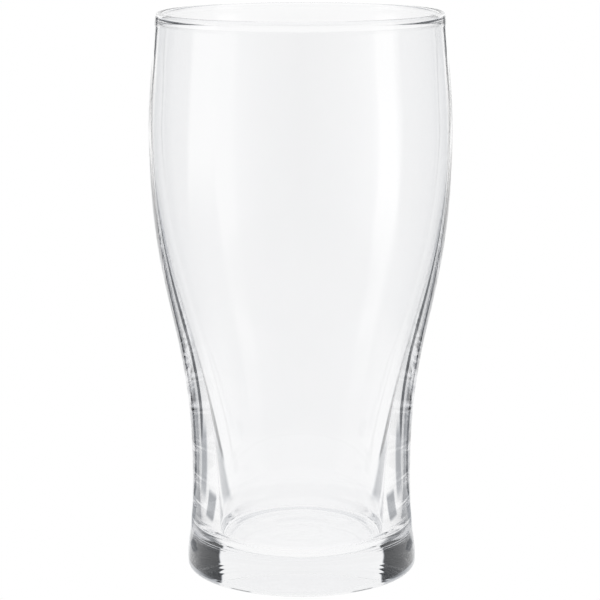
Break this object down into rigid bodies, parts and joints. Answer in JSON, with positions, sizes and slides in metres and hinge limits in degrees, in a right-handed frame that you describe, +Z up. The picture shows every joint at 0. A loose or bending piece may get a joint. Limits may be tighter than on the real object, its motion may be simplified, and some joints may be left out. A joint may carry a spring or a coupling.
{
  "type": "pint glass",
  "caption": "Clear tulip pint glass: wide belly, narrow waist, flared solid foot and a rounded drinking lip.",
  "frame": {"origin": "centre of the ring the glass stands on, at table height", "axes": "+Z up along the glass's axis of revolution, from the foot to the rim; +X and +Y lie in the table plane"},
  "size_m": [0.0854, 0.0854, 0.16],
  "materials": {
    "clear_glass": "fire-polished clear soda-lime glass"
  },
  "bodies": {
    "root": {"glass_body": "clear_glass"}
  },
  "joints": []
}
